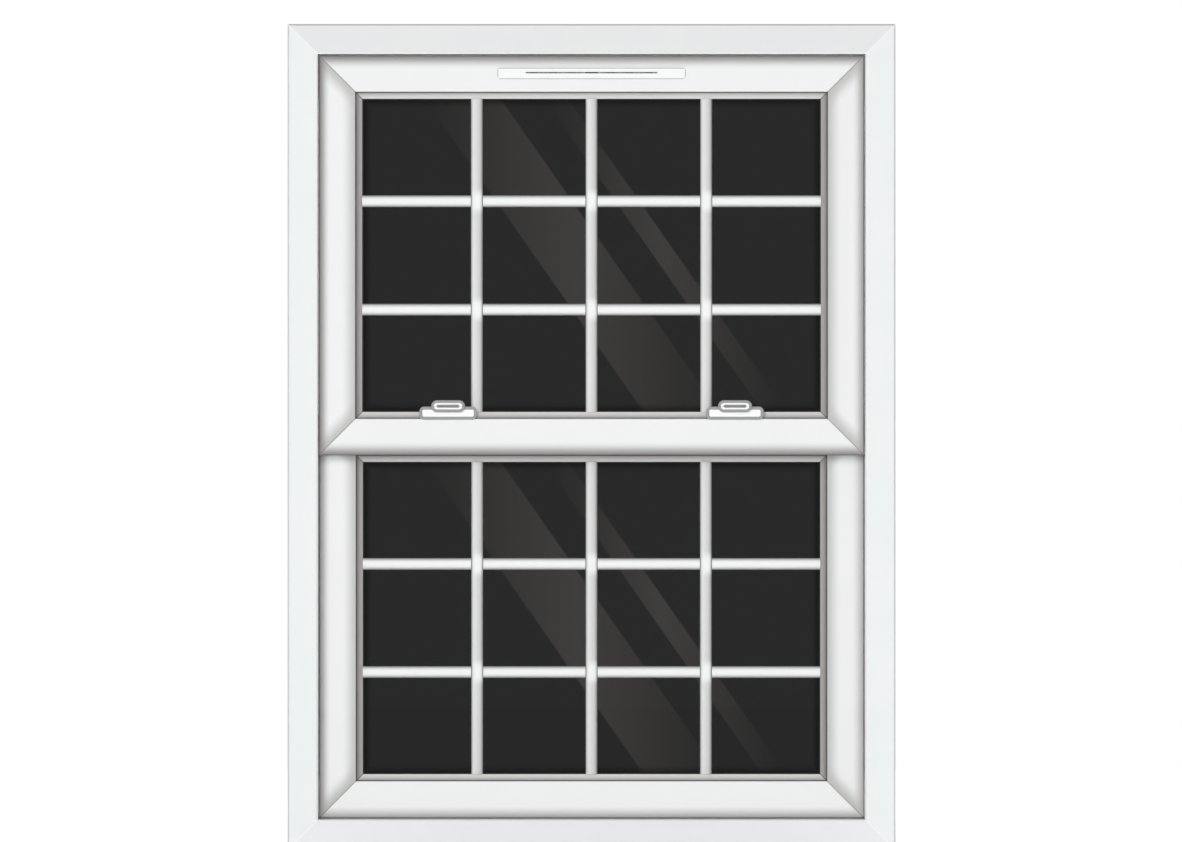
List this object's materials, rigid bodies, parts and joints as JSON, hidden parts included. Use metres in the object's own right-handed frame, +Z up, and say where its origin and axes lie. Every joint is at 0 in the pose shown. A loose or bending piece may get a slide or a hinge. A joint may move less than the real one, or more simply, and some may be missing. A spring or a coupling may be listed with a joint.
{
  "type": "sash window",
  "caption": "White vertical sliding sash window with frame: double-glazed upper and lower sashes with glazing bars, spiral balances, quarter-turn catches and a trickle vent.",
  "frame": {"origin": "middle of the sill's underside", "axes": "+X to the right seen from the room, +Y towards the outdoor side, +Z up"},
  "size_m": [0.912, 0.135, 1.239],
  "materials": {
    "jamb_white": "satin",
    "head_white": "satin",
    "sash_white": "satin",
    "bar_white": "satin",
    "bead_grey": "satin",
    "tinted_glass": "polished dark grey tint",
    "spacer_aluminium": "satin",
    "packer_blue": "moulded",
    "gasket_black": "matt",
    "galvanised_steel": "galvanised",
    "pile_grey": "woven pile",
    "nylon_white": "moulded",
    "tube_white": "satin",
    "rod_steel": "bright drawn",
    "screw_steel": "zinc plated",
    "keep_steel": "zinc plated",
    "catch_grey": "satin lacquer",
    "catch_white": "gloss",
    "vent_white": "satin"
  },
  "bodies": {
    "frame": {"balance_blocks": "nylon_white", "balance_bushes": "nylon_white", "balance_screws": "screw_steel", "balance_tubes": "tube_white", "frame_head": "head_white", "frame_left_jamb": "jamb_white", "frame_reinforcements": "galvanised_steel", "frame_right_jamb": "jamb_white", "frame_sill": "head_white", "frame_weather_seal": "pile_grey", "travel_stops": "nylon_white"},
    "upper_sash": {"catch_panels": "catch_white", "catch_screws": "screw_steel", "left_catch_base": "catch_grey", "meeting_seal": "pile_grey", "right_catch_base": "catch_grey", "upper_balance_rods": "rod_steel", "upper_bottom_rail": "sash_white", "upper_edge_seals": "pile_grey", "upper_gaskets": "gasket_black", "upper_glazing_beads": "bead_grey", "upper_glazing_packers": "packer_blue", "upper_guide_shoes": "nylon_white", "upper_inner_pane": "tinted_glass", "upper_left_stile": "sash_white", "upper_outdoor_bars": "bar_white", "upper_outer_pane": "tinted_glass", "upper_reinforcements": "galvanised_steel", "upper_right_stile": "sash_white", "upper_room_bars": "bar_white", "upper_spacer": "spacer_aluminium", "upper_top_rail": "sash_white", "vent_cover": "vent_white", "vent_hood": "vent_white", "vent_screws": "screw_steel"},
    "lower_sash": {"catch_keeps": "keep_steel", "keep_screws": "screw_steel", "lower_balance_rods": "rod_steel", "lower_bottom_rail": "sash_white", "lower_edge_seals": "pile_grey", "lower_gaskets": "gasket_black", "lower_glazing_beads": "bead_grey", "lower_glazing_packers": "packer_blue", "lower_guide_shoes": "nylon_white", "lower_inner_pane": "tinted_glass", "lower_left_stile": "sash_white", "lower_outdoor_bars": "bar_white", "lower_outer_pane": "tinted_glass", "lower_reinforcements": "galvanised_steel", "lower_right_stile": "sash_white", "lower_room_bars": "bar_white", "lower_spacer": "spacer_aluminium", "lower_top_rail": "sash_white"},
    "left_catch": {"left_catch_lever": "catch_grey", "left_lever_ring": "catch_white", "left_catch_cam": "keep_steel"},
    "right_catch": {"right_catch_lever": "catch_grey", "right_lever_ring": "catch_white", "right_catch_cam": "keep_steel"},
    "shutter": {"vent_shutter": "vent_white"}
  },
  "joints": [
    {"name": "upper_sash_slide", "type": "slide", "parent": "frame", "child": "upper_sash", "axis": [0, 0, -1], "range_m": [0, 0.5]},
    {"name": "lower_sash_slide", "type": "slide", "parent": "frame", "child": "lower_sash", "axis": [0, 0, 1], "range_m": [0, 0.5]},
    {"name": "left_catch_turn", "type": "hinge", "parent": "upper_sash", "child": "left_catch", "pos_m": [-0.23175, -0.05125, 0.66], "axis": [0, 0, -1], "range_deg": [0, 90]},
    {"name": "right_catch_turn", "type": "hinge", "parent": "upper_sash", "child": "right_catch", "pos_m": [0.23175, -0.05125, 0.66], "axis": [0, 0, 1], "range_deg": [0, 90]},
    {"name": "vent_shutter_slide", "type": "slide", "parent": "upper_sash", "child": "shutter", "axis": [1, 0, 0], "range_m": [0, 0.012]}
  ]
}
